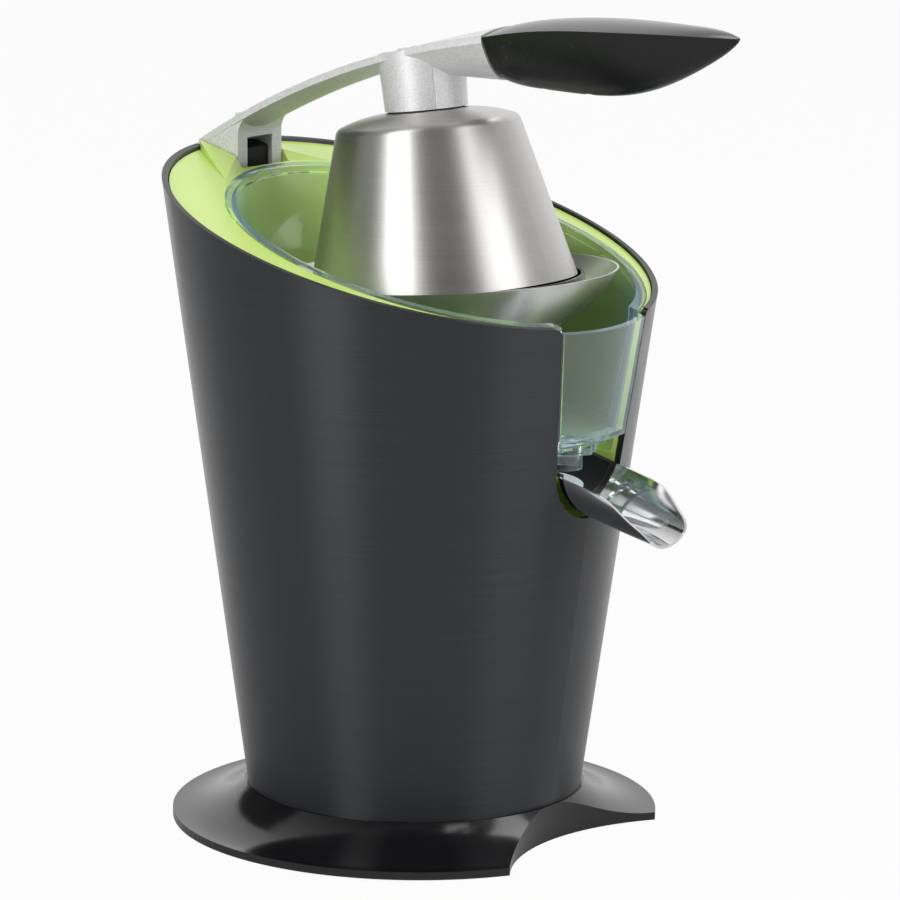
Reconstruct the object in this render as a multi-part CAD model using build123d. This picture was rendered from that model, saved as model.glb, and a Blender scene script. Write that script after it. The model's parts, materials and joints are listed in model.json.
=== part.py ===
from build123d import *
from math import atan, cos, degrees, hypot, radians, sin, sqrt, tan
import os

# An electric citrus press with a lever, in millimetres.
# +X points to the front, where the juice leaves, and +Z is up.
# The origin is on the floor under the body's axis.
# The part is the same on both sides of the XZ plane.

# Shared clearances
OVERRUN = 60.0            # how far a cutting solid reaches past what it cuts
SLIP = 0.4                # gap between mouldings that are pushed together
FIT = 0.05                # radial clearance of pins, screws and shafts
SEAT_GAP = 0.1            # gap left where two curved faces would touch

# Base
BASE_R = 100.0
BASE_EDGE = 3.2           # height of the upright edge
BASE_WALL = 2.5
BASE_BORE_MARGIN = 19.0   # bore inside the shell's foot
FOOT_LIFT = 0.8           # how far the feet lift the base off the floor
LEDGE_Z = 15.5            # the shell and the inner body stand here
LEDGE_MARGIN = 1.2        # ledge showing outside the shell
FLARE_MID_SHARES = (0.46, 0.22)   # of the flare's width and height
NOTCH_R = 88.5            # round notch for the glass
NOTCH_GAP = 0.8           # notch to the shell's foot
COVER_MARGIN = 5.0        # bottom cover's edge inside the shell's foot
COVER_T = 2.0
COVER_WALL = 4.0          # ring wall that carries the bottom cover
VENT_COUNT = 10
VENT_INNER_R = 22.0
VENT_MARGIN = 18.0        # outer end of a vent to the cover's edge
VENT_WIDE = 4.0
FOOT_R = 7.0
FOOT_T = 2.0
FOOT_PAD_WALL = 1.6
FOOT_SHIFT = 2.0          # feet outside the middle between the cover's and the base's edge
FOOT_ANGLES = (50, 130, 230, 310)
SCREW_R = 1.7
SCREW_HEAD_R = 3.2
SCREW_HEAD_T = 2.2
BASE_SCREW_MARGIN = 13.0  # base screws inside the shell's foot
BASE_SCREW_LONG = 6.5
COVER_SCREW_R = 1.2
COVER_SCREW_LONG = 7.0
SCREW_ANGLES = (45, 135, 225, 315)

# Outer shell
SHELL_FOOT_R = 69.0
RIM_OVER = 0.5            # body wider than the base, at the rim's height on the axis
SHELL_WALL = 2.4
RIM_Z = 243.4             # height of the inclined rim at the axis
RIM_PITCH = 15.77         # degrees, low at the front
SHELL_TOP_Z = 290.0       # top of the cone before the rim is cut
SLOT_ANGLE = 17.2         # half angle of the front slot at the rim, in degrees
SLOT_GAP = 2.1            # spout to the slot's round bottom
SLOT_CORNER_R = 3.0
TAIL_SLOT_HALF = 15.2     # slot at the back for the lever's tail
TAIL_SLOT_DROP = 19.0     # its floor below the hinge pin

# Inner body
INNER_WALL = 2.2
DECK_DROP = 1.2           # deck below the shell's rim
DECK_T = 3.0
FLANGE_T = 3.5            # foot flange that the base is screwed to
TUB_WALL = 2.0
TUB_FLOOR_Z = 160.0
TUB_FLOOR_T = 2.5
POCKET_WALL = 1.8
POCKET_GAP = 2.6          # bowl's rim ring to the hinge pocket
MOUND_RISE = 3.3          # faceted mound on the deck beside the hinge
MOUND_REACH = 20.7        # how far the mound runs out from the pocket
MOUND_REAR = 11.0         # rear end behind the pin
MOUND_TIP = 20.4          # tip in front of the pin
CHUTE_MARGIN = 7.94       # gearbox to the chamber where the spout swings
CHUTE_FLOOR_Z = 133.0
CHUTE_WALL = 2.2

# Juice bowl
BOWL_X = 9.0
BOWL_INSET = 17.5         # bowl's wall inside the body's rim
BOWL_FLOOR_INSET = 5.67   # bowl's floor inside the shell at the front
BOWL_FLOOR_Z = 165.0
BOWL_KNEE_Z = 214.0       # the wall tapers below this height
BOWL_WALL = 2.0
BOWL_LIP_WIDE = 2.0       # rim ring outside the wall
BOWL_LIP_T = 3.0
BOWL_LIP_PROUD = 0.8      # rim ring above the deck
BAY_WALL = 2.2            # front bay that fills the slot
BAY_FLOOR_Z = 168.0
BAY_DROP = 2.0            # bay's top edge below the rim
OUTLET_REACH = 19.0       # outlet in front of the spout's pin
OUTLET_R = 7.4
OUTLET_WALL = 1.4
OUTLET_END_Z = 155.6
SUMP_R = 12.8
SUMP_LOBE_R = 3.2         # the sump's edge is scalloped
SUMP_LOBES = 9
SUMP_DROP = 2.6           # raised ring round the outlet, below the floor
CHIMNEY_R = 14.0
CHIMNEY_WALL = 2.0

# Press axis: it leans back and passes through the middle of the sieve's rim
PRESS_X = 12.8
PRESS_Z = 228.6
PRESS_LEAN = 3.0          # degrees

# Heights on the press axis, counted from the sieve's rim
CHIMNEY_TOP = -14.0
SIEVE_FLOOR = -28.6
SIEVE_SEAT_T = 4.0
SIEVE_SEAT_R = 19.0
TOWER_TOP = -17.0
TOWER_R = 11.4
BUSH_R = 8.0
BUSH_LONG = 12.0
SEAL_T = 2.0
SEAL_R = 9.0
CASE_TOP = -74.0
SHAFT_R = 5.0
SHAFT_TOP = 10.0
SHAFT_LOW = -102.0
HEX_LOW = -11.0
HEX_R = 4.9               # corner radius of the hexagon

# Sieve
SIEVE_INSET = 12.0        # sieve's rim inside the bowl's wall
SIEVE_T = 0.8
SIEVE_MID_IN = 10.8       # from the rim inwards
SIEVE_MID = -12.8
SIEVE_LOW_IN = 27.0
SIEVE_LOW = -23.2
SIEVE_FLAT_R = 24.0
SIEVE_HOLE_R = 1.3
SIEVE_ROW_IN = 21.0
SIEVE_ROW_STEP = 7.0
SIEVE_ROWS = 2
SIEVE_ROW_COUNT = 24

# Reamer
RING_INSET = 14.0         # skirt ring, seen under the cup, inside the sieve's rim
RING_WALL = 1.4
RING_TOP = -2.0
RING_LOW = -12.0
SKIRT_T = 1.6
SKIRT_LOW = -13.6
DOME_SHARE = 0.816        # of the ribs' radius: body of the cone, between the ribs
DOME_TOP = 33.0
RIB_SHARE = 0.696         # of the cup's radius: ribs, shaped to the fruit that the cup holds
RIB_TOP = 38.0
RIB_WIDE = 3.2
RIB_PLATES = 5            # each plate makes two ribs
DOME_FULL_SHARES = (0.80, 0.55)   # of the radius and height: how full the dome's side is
HUB_R = 17.6
HUB_BORE_R = 15.2
HUB_LOW = -25.2
HUB_ROOF = -9.5
DRAIN_COUNT = 12
DRAIN_WIDE = 5.0
DRAIN_LONG = 12.0
DRAIN_INSET = 4.0         # drains inside the skirt ring

# Drive train, heights on the press axis
MODULE = 0.9
PINION_TEETH = 12
WHEEL_TEETH = 48
ADDENDUM_SHARE = 0.85     # of the module
DEDENDUM_SHARE = 1.2
TOOTH_ROOT_SHARE = 0.56   # of the pitch, tooth width at the root
TOOTH_TIP_SHARE = 0.18
CASE_WALL = 2.5
CASE_MARGIN = 1.4         # gear tips to the case
CASE_LOW = -116.0
CASE_COVER_T = 3.0
OUT_GEAR_TOP = -79.0
OUT_GEAR_LOW = -88.0
OUT_HUB_R = 9.0
OUT_HUB_TOP = -76.8
OUT_HUB_LOW = -89.0
LAY_PINION_TOP = -78.0
LAY_PINION_LOW = -93.0
LAY_WHEEL_TOP = -105.0
LAY_WHEEL_LOW = -112.0
LAY_HUB_R = 5.0
LAY_PIN_R = 2.5
PLATE_TOP = -100.0
PLATE_T = 2.5
WASHER_TOP = -89.2
WASHER_T = 1.4
WASHER_R = 13.0
FINGER_LONG = 21.0        # arm of the washer over the switch
FINGER_WIDE = 6.0
SPRING_R = 10.0
SPRING_T = 0.6
SPRING_COUNT = 4
SWITCH_LONG = 12.8
SWITCH_WIDE = 6.0
SWITCH_TALL = 5.6
PLUNGER_R = 1.0
PLUNGER_TALL = 1.4
PINION_TOP = -104.5
PINION_LOW = -113.0
ROTOR_SHAFT_R = 3.0
MOTOR_R = 33.0
MOTOR_WALL = 1.6
MOTOR_LOW = -186.0
MOTOR_CAP_T = 4.0
STATOR_R = 31.2
STATOR_BORE_R = 15.6
STATOR_TOP = -137.0
STATOR_LOW = -169.0
ROTOR_R = 15.0
COMMUTATOR_R = 9.0
COMMUTATOR_TOP = -174.0
COMMUTATOR_LOW = -181.0
MOTOR_EAR_R = 5.0
MOTOR_SCREW_CIRCLE_R = 25.0
CASE_SCREW_LONG = 9.0

# Lever: hinge pin
PIN_BACK = 13.4           # pin behind the front of its pocket
PIN_DROP = 11.18          # pin below the deck
PIN_R = 4.0
KNUCKLE_R = 9.5           # round end of the fork about the pin
FORK_HALF = 14.3
FORK_GAP_HALF = 8.1
LUG_HALF = 7.6
LUG_HALF_LONG = 7.6
LUG_R = 16.0              # round top of the bracket about the pin
SWING_R = 17.0            # hollow of the fork about the pin
BRACKET_FOOT_T = 3.5
HINGE_SCREW_LONG = 7.0
WINDOW_RISE = 19.0        # top of the fork's window above the pin

# Lever: arm, seen from the side as an arc
ARM_TAIL_BACK = 11.5      # tail behind the pin
ARM_TAIL_RISE = 17.0      # tail above the pin
ARM_HEAD_X = 43.0
ARM_OVER_CUP = 34.0       # head above the cup's top
ARM_RISE = 7.7            # rise of the arc above its chord
ARM_EDGE = 3.0            # upright edge of the arm
ARM_BELLY = 3.2
ARM_TAIL_HALF = 14.3
ARM_BOSS_HALF = 17.4
ARM_HEAD_HALF = 17.0
KEEL_DEEP = 19.0          # underside of the arm in front of the boss, below the head
GUSSET = 7.0              # round corner between the fork and the arm
TANG_LONG = 52.0
TANG_HALF = 7.5
TANG_TALL = 9.0

# Press cup, on its own axis that leans back more than the press axis
CUP_DROP = 5.6            # cup's mouth below the sieve's rim
CUP_LEAN = 7.25
CUP_GAP = 1.0             # cup's mouth inside the skirt ring
CUP_TALL = 71.0
CUP_TAPER = 14.9          # degrees from the axis
CUP_WALL = 1.0
CUP_SHOULDER = 4.0        # radius of the corner
CUP_TOP_FALL = 4.8        # the domed top falls from the boss to the corner
CUP_DOME_SHARE = 0.2      # of that fall, how far the dome rises over a straight line
BOSS_R = 16.8
BOSS_DRAFT = 2.4          # degrees
BOSS_LONG = 26.0          # long enough to run into the arm
BOSS_GROOVE_ANGLE = 39.0
BOSS_GROOVE_R = 0.6
CUP_WASHER_T = 0.7
CUP_WASHER_R = 15.6
STUD_R = 5.8
STUD_LONG = 10.0
STUD_HEAD_R = 9.5
STUD_HEAD_T = 3.0

# Release button on top of the arm
BUTTON_X = -10.0
BUTTON_R = 5.0
BUTTON_TALL = 7.0
BUTTON_PROUD = 1.3
COLLAR_R = 8.6
COLLAR_PROUD = 1.1
BUTTON_SPRING_R = 4.2
BUTTON_SPRING_RISE = 1.1
BUTTON_SPRING_COUNT = 2

# Grip: sections along X as half width, ridge height, keel height and crown height
GRIP_LONG = 109.0
GRIP_GAP = 0.2
GRIP_STATION_SHARES = (0.0, 0.20, 0.43, 0.66, 0.85, 0.955, 1.0)
GRIP_HALF = 19.6
GRIP_HALF_SHARES = (0.87, 0.985, 1.0, 0.86, 0.55, 0.27, 0.06)
GRIP_RIDGE_RISE = 6.4
GRIP_RIDGE_SHARES = (0.0, 0.58, 0.90, 1.0, 0.98, 0.92, 0.88)
GRIP_DEEP = 26.6
GRIP_DEEP_SHARES = (0.66, 0.91, 1.0, 0.86, 0.50, 0.22, 0.05)
GRIP_CROWN = 3.6
GRIP_CROWN_SHARES = (0.65, 1.0, 1.0, 0.85, 0.72, 0.45, 0.08)
GRIP_SCREW_SHARES = (0.18, 0.38)

# Spout, in its own frame: it swings about a pin behind the outlet
SPOUT_PIN_GAP = 7.6       # pin in front of the chamber's back
SPOUT_PIN_Z = 155.2
SPOUT_SLOPE = 14.0        # degrees down, as it pours
SPOUT_R = 20.3
SPOUT_WALL = 1.2
SPOUT_AXIS = 12.2         # tube's axis above the pin
SPOUT_START = 9.0
SPOUT_END = 74.0
SPOUT_EDGE = 8.4          # top edge above the pin
SPOUT_BEND = 47.0         # where the top edge starts to fall
SPOUT_MID = (64.5, 2.0)
SPOUT_TIP = (73.0, -7.4)
INSERT_R = 18.9
INSERT_WALL = 2.5
INSERT_END = 29.0
INSERT_EDGE = 8.8
INSERT_WEB = 8.0
SPOUT_PIN_R = 2.0
SPOUT_BOSS_R = 5.0
SPOUT_BOSS_HALF = 20.0
DISC_S = 19.4             # seal's place along the spout
DISC_R = 8.2
DISC_T = 1.8
PEDESTAL_R = 7.6

# Cord gland at the back of the shell
GLAND_Z = 32.0
GLAND_R = 6.2
GLAND_BORE_R = 4.2
GLAND_FLANGE_R = 8.8
GLAND_FLANGE_T = 2.5

# Worked out from the values above
EDGE_TOP_Z = FOOT_LIFT + BASE_EDGE
LEDGE_R = SHELL_FOOT_R + LEDGE_MARGIN
COVER_R = SHELL_FOOT_R - COVER_MARGIN
BASE_SCREW_CIRCLE_R = SHELL_FOOT_R - BASE_SCREW_MARGIN
BASE_BORE_R = SHELL_FOOT_R - BASE_BORE_MARGIN
FOOT_CIRCLE_R = (COVER_R + BASE_R) / 2 + FOOT_SHIFT
VENT_LONG = COVER_R - VENT_MARGIN - VENT_INNER_R
RIM_R = BASE_R + RIM_OVER
TAPER = (RIM_R - SHELL_FOOT_R) / (RIM_Z - LEDGE_Z)
SHELL_TAPER = degrees(atan(TAPER))
RIM_FALL = tan(radians(RIM_PITCH))
INNER_OFF = SHELL_WALL + SLIP
BOWL_R = RIM_R - BOWL_INSET
BOWL_FLOOR_R = SHELL_FOOT_R + (BOWL_FLOOR_Z - LEDGE_Z) * TAPER - BOWL_X - BOWL_FLOOR_INSET
SIEVE_R = BOWL_R - SIEVE_INSET
RING_R = SIEVE_R - RING_INSET
CUP_R = RING_R - RING_WALL - CUP_GAP
RIB_R = CUP_R * RIB_SHARE
DOME_R = RIB_R * DOME_SHARE
CUP_X = PRESS_X
CUP_Z = PRESS_Z - CUP_DROP
POCKET_FRONT_X = BOWL_X - BOWL_R - BOWL_LIP_WIDE - POCKET_GAP
PIN_X = POCKET_FRONT_X - PIN_BACK
PIN_Z = RIM_Z - DECK_DROP - PIN_X * RIM_FALL - PIN_DROP
TAIL_SLOT_Z = PIN_Z - TAIL_SLOT_DROP
WINDOW_TOP_Z = PIN_Z + WINDOW_RISE
ARM_TAIL_X = PIN_X - ARM_TAIL_BACK
ARM_TAIL_Z = PIN_Z + ARM_TAIL_RISE
ARM_HEAD_Z = CUP_Z + CUP_TALL * cos(radians(CUP_LEAN)) + ARM_OVER_CUP
KEEL_Z = ARM_HEAD_Z - KEEL_DEEP
TANG_Z = ARM_HEAD_Z - KEEL_DEEP / 2
SHAFT_GAP = MODULE * (PINION_TEETH + WHEEL_TEETH) / 2
WHEEL_TIP_R = MODULE * (WHEEL_TEETH / 2 + ADDENDUM_SHARE)
CASE_R = WHEEL_TIP_R + CASE_MARGIN + CASE_WALL
COVER_LOW = CASE_LOW - CASE_COVER_T
GRIP_X = ARM_HEAD_X + GRIP_GAP
CHUTE_BACK_X = PRESS_X + CASE_R + CHUTE_MARGIN
SPOUT_PIN_X = CHUTE_BACK_X + SPOUT_PIN_GAP
OUTLET_X = SPOUT_PIN_X + OUTLET_REACH
SLOT_LOW_HALF = SPOUT_R + SLOT_GAP
CHUTE_HALF = SLOT_LOW_HALF - SLIP

PRESS = Location((PRESS_X, 0, PRESS_Z), (0, -PRESS_LEAN, 0))
CUP = Location((CUP_X, 0, CUP_Z), (0, -CUP_LEAN, 0))
RIM = Location((0, 0, RIM_Z), (0, RIM_PITCH, 0))
SPOUT = Location((SPOUT_PIN_X, 0, SPOUT_PIN_Z), (0, SPOUT_SLOPE, 0))


def shell_r(z):
    """Outer radius of the shell at a height."""
    return SHELL_FOOT_R + (z - LEDGE_Z) * TAPER


def slot_low_z():
    """Height at which the spout's tube leaves the shell; the slot's round bottom is about this height."""
    fall, level = sin(radians(SPOUT_SLOPE)), cos(radians(SPOUT_SLOPE))
    start_z = SPOUT_PIN_Z + SPOUT_AXIS * level
    reach = (shell_r(start_z) - SPOUT_PIN_X - SPOUT_AXIS * fall) / (level + fall * TAPER)
    return start_z - reach * fall


def slot_corner():
    """Place of the slot's corner on the rim: distance to the front, half width, height."""
    lean = cos(radians(SLOT_ANGLE))
    x = lean * shell_r(RIM_Z) / (1 + lean * TAPER * RIM_FALL)
    return x, x * tan(radians(SLOT_ANGLE)), RIM_Z - x * RIM_FALL


def arm_top(x):
    """Height of the arm's top, an arc over the chord from tail to head."""
    run, climb = ARM_HEAD_X - ARM_TAIL_X, ARM_HEAD_Z - ARM_TAIL_Z
    half = hypot(run, climb) / 2
    radius = (half ** 2 + ARM_RISE ** 2) / (2 * ARM_RISE)
    back = (radius - ARM_RISE) / (2 * half)
    centre_x = (ARM_TAIL_X + ARM_HEAD_X) / 2 + climb * back
    centre_z = (ARM_TAIL_Z + ARM_HEAD_Z) / 2 - run * back
    return centre_z + sqrt(radius ** 2 - (x - centre_x) ** 2)


def arm_slope(x):
    """Slope of the arm's top, in degrees."""
    return degrees(atan((arm_top(x + FIT) - arm_top(x - FIT)) / (2 * FIT)))


def ring(outer, inner, low, high):
    """Upright tube, or a disc where inner is zero."""
    face = Circle(outer) - Circle(inner) if inner else Circle(outer)
    return extrude(Plane.XY.offset(low) * face, high - low)


def turned(*points):
    """Solid of revolution about Z from points of radius and height."""
    return revolve(Plane.XZ * make_face(Polyline(*points, close=True)), Axis.Z)


def cone(offset, low, high):
    """Solid with the shell's taper, its radius set in by the offset."""
    return turned((0, low), (shell_r(low) - offset, low), (shell_r(high) - offset, high), (0, high))


def block(x0, x1, half_y, z0, z1):
    """Box that is the same on both sides of the XZ plane."""
    return Pos((x0 + x1) / 2, 0, (z0 + z1) / 2) * Box(x1 - x0, 2 * half_y, z1 - z0)


def above_rim(drop):
    """Everything above a plane that lies under the rim by the drop."""
    size = 4 * BASE_R
    return RIM * Pos(0, 0, size / 2 - drop) * Box(size, size, size)


def side_plate(face, half):
    """Plate drawn on the XZ plane and thickened both ways."""
    return extrude(Plane.XZ * face, half, both=True)


def around(radius, angles):
    """Places on a circle about Z."""
    return [Pos(radius * cos(radians(a)), radius * sin(radians(a)), 0) for a in angles]


def screws(places, radius, head_r, seat, length):
    """Screws that point up from a seat, with their heads below it."""
    one = ring(radius, 0, seat, seat + length) + ring(head_r, 0, seat - SCREW_HEAD_T, seat)
    return Compound([place * one for place in places])


def base_flare(inset):
    """Section of the base between the floor and the ledge, set in by the inset."""
    wide, tall = BASE_R - LEDGE_R, LEDGE_Z - EDGE_TOP_Z
    mid = (LEDGE_R + wide * FLARE_MID_SHARES[0] - inset, EDGE_TOP_Z + tall * FLARE_MID_SHARES[1] - inset)
    inner = COVER_R + FIT if inset else BASE_BORE_R
    top, edge = LEDGE_Z - inset, EDGE_TOP_Z - inset
    lines = [
        Polyline((inner, FOOT_LIFT), (inner, top), (LEDGE_R - inset, top)),
        ThreePointArc((LEDGE_R - inset, top), mid, (BASE_R - inset, edge)),
        Polyline((BASE_R - inset, edge), (BASE_R - inset, FOOT_LIFT), (inner, FOOT_LIFT)),
    ]
    return revolve(Plane.XZ * make_face(lines), Axis.Z)


def base():
    notch_x = SHELL_FOOT_R + NOTCH_GAP + NOTCH_R
    notch = Pos(notch_x, 0, 0) * ring(NOTCH_R, 0, -OVERRUN, OVERRUN)
    notch_wall = Pos(notch_x, 0, 0) * ring(NOTCH_R + BASE_WALL, 0, -OVERRUN, OVERRUN)
    under = COVER_R - COVER_WALL
    body = base_flare(0) - (base_flare(BASE_WALL) - notch_wall)
    body -= ring(under, 0, FOOT_LIFT, LEDGE_Z - BASE_WALL)
    body -= ring(COVER_R + FIT, 0, FOOT_LIFT - FIT, FOOT_LIFT + COVER_T)
    feet = around(FOOT_CIRCLE_R, FOOT_ANGLES)
    pads = [place * ring(FOOT_R + FOOT_PAD_WALL, 0, FOOT_LIFT, EDGE_TOP_Z) for place in feet]
    recesses = [place * ring(FOOT_R + FIT, 0, -FIT, FOOT_T) for place in feet]
    body = body + pads - recesses - notch
    base_hole = ring(SCREW_R + FIT, 0, 0, LEDGE_Z + FIT)
    body -= [place * base_hole for place in around(BASE_SCREW_CIRCLE_R, SCREW_ANGLES)]
    cover_hole = ring(COVER_SCREW_R + FIT, 0, 0, FOOT_LIFT + COVER_SCREW_LONG + FIT)
    return body - [place * cover_hole for place in cover_screw_places()]


def cover_screw_places():
    return around(COVER_R - COVER_WALL / 2, SCREW_ANGLES)


def bottom_cover():
    plate = ring(COVER_R, 0, FOOT_LIFT, FOOT_LIFT + COVER_T)
    slot = extrude(SlotOverall(VENT_LONG, VENT_WIDE), OVERRUN, both=True)
    middle = VENT_INNER_R + VENT_LONG / 2
    vents = [Rot(0, 0, i * 360 / VENT_COUNT) * Pos(middle, 0, 0) * slot for i in range(VENT_COUNT)]
    hole = ring(COVER_SCREW_R + FIT, 0, 0, LEDGE_Z)
    return plate - vents - [place * hole for place in cover_screw_places()]


def rubber_feet():
    return Compound([place * ring(FOOT_R, 0, 0, FOOT_T) for place in around(FOOT_CIRCLE_R, FOOT_ANGLES)])


def base_screws():
    places = around(BASE_SCREW_CIRCLE_R, SCREW_ANGLES)
    return screws(places, SCREW_R, SCREW_HEAD_R, LEDGE_Z - BASE_WALL, BASE_SCREW_LONG)


def cover_screws():
    """Flat screws sunk in the bottom cover."""
    one = ring(COVER_SCREW_R, 0, FOOT_LIFT, FOOT_LIFT + COVER_SCREW_LONG)
    return Compound([place * one for place in cover_screw_places()])


def slot_face(inset):
    """Front slot seen from the front: round bottom, widening sides, rounded upper corners."""
    _, top_half, top_z = slot_corner()
    low, top, corner = SLOT_LOW_HALF - inset, top_half - inset, SLOT_CORNER_R
    low_z = slot_low_z()
    knee_z = top_z - corner
    bulge = corner * (1 - sqrt(0.5))
    right = [
        Line((low, low_z), (top, knee_z)),
        ThreePointArc((top, knee_z), (top + bulge, top_z - bulge), (top + corner, top_z)),
        Polyline((top + corner, top_z), (top + corner, SHELL_TOP_Z), (0, SHELL_TOP_Z)),
    ]
    left = [
        Polyline((0, SHELL_TOP_Z), (-top - corner, SHELL_TOP_Z), (-top - corner, top_z)),
        ThreePointArc((-top - corner, top_z), (-top - bulge, top_z - bulge), (-top, knee_z)),
        Line((-top, knee_z), (-low, low_z)),
    ]
    bottom = ThreePointArc((-low, low_z), (0, low_z - low), (low, low_z))
    return make_face([*right, *left, bottom])


def slot_cut(inset):
    """Front slot as a solid that runs out to the front from inside the body."""
    start = BOWL_X + BOWL_FLOOR_R / 2
    return extrude(Plane.YZ.offset(start) * slot_face(inset), BASE_R)


def straight_slot(inset):
    """Front slot with straight sides up to the top, for what fills it."""
    _, top_half, top_z = slot_corner()
    low, low_z = SLOT_LOW_HALF - inset, slot_low_z()
    rate = (top_half - SLOT_LOW_HALF) / (top_z - SLOT_CORNER_R - low_z)
    high = low + rate * (SHELL_TOP_Z - low_z)
    outline = Polyline((-low, low_z), (low, low_z), (high, SHELL_TOP_Z), (-high, SHELL_TOP_Z), close=True)
    start = BOWL_X + BOWL_FLOOR_R / 2
    return extrude(Plane.YZ.offset(start) * make_face(outline), BASE_R)


def tail_slot(half, floor_z):
    """Slot at the back, open at the top, for the lever's tail."""
    return block(-BASE_R - OVERRUN, POCKET_FRONT_X, half, floor_z, SHELL_TOP_Z)


def gland_place():
    """Where the cord gland sits, its axis square to the shell and pointing out."""
    return Location((-shell_r(GLAND_Z), 0, GLAND_Z), (0, -90 - SHELL_TAPER, 0))


def body_shell():
    shell = cone(0, LEDGE_Z, SHELL_TOP_Z) - cone(SHELL_WALL, LEDGE_Z, SHELL_TOP_Z)
    shell -= above_rim(0)
    shell -= slot_cut(0)
    shell -= tail_slot(TAIL_SLOT_HALF, TAIL_SLOT_Z)
    return shell - gland_place() * ring(GLAND_R + FIT, 0, -OVERRUN / 2, OVERRUN / 2)


def bowl_profile(offset, floor_z):
    """Outside of the juice bowl, moved out by the offset, as a solid about the bowl's own axis."""
    solid = turned((0, floor_z), (BOWL_FLOOR_R + offset, floor_z), (BOWL_R + offset, BOWL_KNEE_Z),
                   (BOWL_R + offset, SHELL_TOP_Z), (0, SHELL_TOP_Z))
    return Pos(BOWL_X, 0, 0) * solid


def lip_recess(offset, low):
    """Inclined disc under the bowl's rim ring."""
    disc = Pos(BOWL_X, 0, 0) * ring(BOWL_R + BOWL_LIP_WIDE + offset, 0, BOWL_KNEE_Z - OVERRUN, SHELL_TOP_Z)
    return disc & above_rim(DECK_DROP + low)


def case_outline(offset):
    """Plan of the gearbox: a round about the press axis and one about the layshaft, joined."""
    front, back = Circle(CASE_R + offset), Pos(-SHAFT_GAP, 0) * Circle(CASE_R + offset)
    waist = Pos(-SHAFT_GAP / 2, 0) * Rectangle(SHAFT_GAP, 2 * (CASE_R + offset))
    return front + back + waist


def mound(side):
    """Faceted mound on the deck beside the hinge, highest along the pocket."""
    def deck(x, y, rise):
        return (x, side * y, RIM_Z - DECK_DROP - x * RIM_FALL + rise)
    wall, sunk = TAIL_SLOT_HALF, -DECK_T / 2
    rear_x, front_x, tip_x = PIN_X - MOUND_REAR, PIN_X + KNUCKLE_R, PIN_X + MOUND_TIP
    rear = [deck(rear_x, wall, sunk), deck(rear_x, wall, MOUND_RISE)]
    front = [deck(POCKET_FRONT_X, wall, sunk), deck(front_x, wall, MOUND_RISE)]
    tip = [deck(tip_x, wall + MOUND_REACH, sunk), deck(tip_x, wall + MOUND_REACH, 0)]
    sides = [
        [rear[0], front[0], tip[0]],
        [rear[1], front[1], tip[1]],
        [rear[0], rear[1], front[1], front[0]],
        [rear[0], rear[1], tip[1]],
        [rear[0], tip[1], tip[0]],
        [front[0], front[1], tip[1]],
        [front[0], tip[1], tip[0]],
    ]
    outlines = [Wire.make_polygon([Vector(*point) for point in corners]) for corners in sides]
    solid = Solid(Shell([Face(outline) for outline in outlines]))
    return solid & cone(INNER_OFF, LEDGE_Z, SHELL_TOP_Z)


def tower():
    """Upright tube round the drive shaft, stepped for a bush at each end."""
    tube = ring(TOWER_R, 0, CASE_TOP, TOWER_TOP)
    tube -= ring(BUSH_R - FIT, 0, CASE_TOP, TOWER_TOP)
    inner_low, inner_high = CASE_TOP + BUSH_LONG, TOWER_TOP - BUSH_LONG
    collar = ring(TOWER_R, BUSH_R - INNER_WALL, inner_low + FIT, inner_high - FIT)
    return PRESS * (tube + collar)


def inner_body():
    outer = cone(INNER_OFF, LEDGE_Z, SHELL_TOP_Z) - above_rim(DECK_DROP)
    room = cone(INNER_OFF + INNER_WALL, LEDGE_Z + FLANGE_T, SHELL_TOP_Z) - above_rim(DECK_DROP + DECK_T)
    room -= bowl_profile(SLIP + TUB_WALL, TUB_FLOOR_Z - TUB_FLOOR_T)
    room -= lip_recess(SLIP + TUB_WALL, BOWL_LIP_T + DECK_T)
    room -= block(-BASE_R - OVERRUN, POCKET_FRONT_X + POCKET_WALL, TAIL_SLOT_HALF + POCKET_WALL,
                  TAIL_SLOT_Z - BRACKET_FOOT_T, SHELL_TOP_Z)
    room -= block(CHUTE_BACK_X - CHUTE_WALL, BASE_R + OVERRUN, CHUTE_HALF + CHUTE_WALL,
                  CHUTE_FLOOR_Z - CHUTE_WALL, TUB_FLOOR_Z)
    room -= PRESS * extrude(Plane.XY.offset(CASE_TOP) * case_outline(0), CASE_R)
    body = outer - room
    body -= ring(BASE_BORE_R, 0, LEDGE_Z - FIT, LEDGE_Z + FLANGE_T)
    body -= bowl_profile(SLIP, TUB_FLOOR_Z)
    body -= lip_recess(SLIP, BOWL_LIP_T)
    body -= block(CHUTE_BACK_X, BASE_R + OVERRUN, CHUTE_HALF, CHUTE_FLOOR_Z, BOWL_FLOOR_Z)
    body -= slot_cut(SLIP)
    body -= tail_slot(TAIL_SLOT_HALF, TAIL_SLOT_Z)
    body += [mound(1), mound(-1)]
    body -= PRESS * ring(TOWER_R, 0, CASE_TOP, TOWER_TOP)
    body += tower()
    body -= [place * ring(SCREW_R + FIT, 0, LEDGE_Z - FIT, LEDGE_Z + FLANGE_T)
             for place in around(BASE_SCREW_CIRCLE_R, SCREW_ANGLES)]
    body -= Pos(SPOUT_PIN_X, 0, SPOUT_PIN_Z) * Rot(90, 0, 0) * ring(SPOUT_PIN_R + FIT, 0, -BASE_R, BASE_R)
    body -= hinge_screw_holes()
    body -= case_screw_holes(CASE_TOP)
    return body - gland_place() * ring(GLAND_R + FIT, 0, -OVERRUN / 2, OVERRUN / 2)


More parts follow.
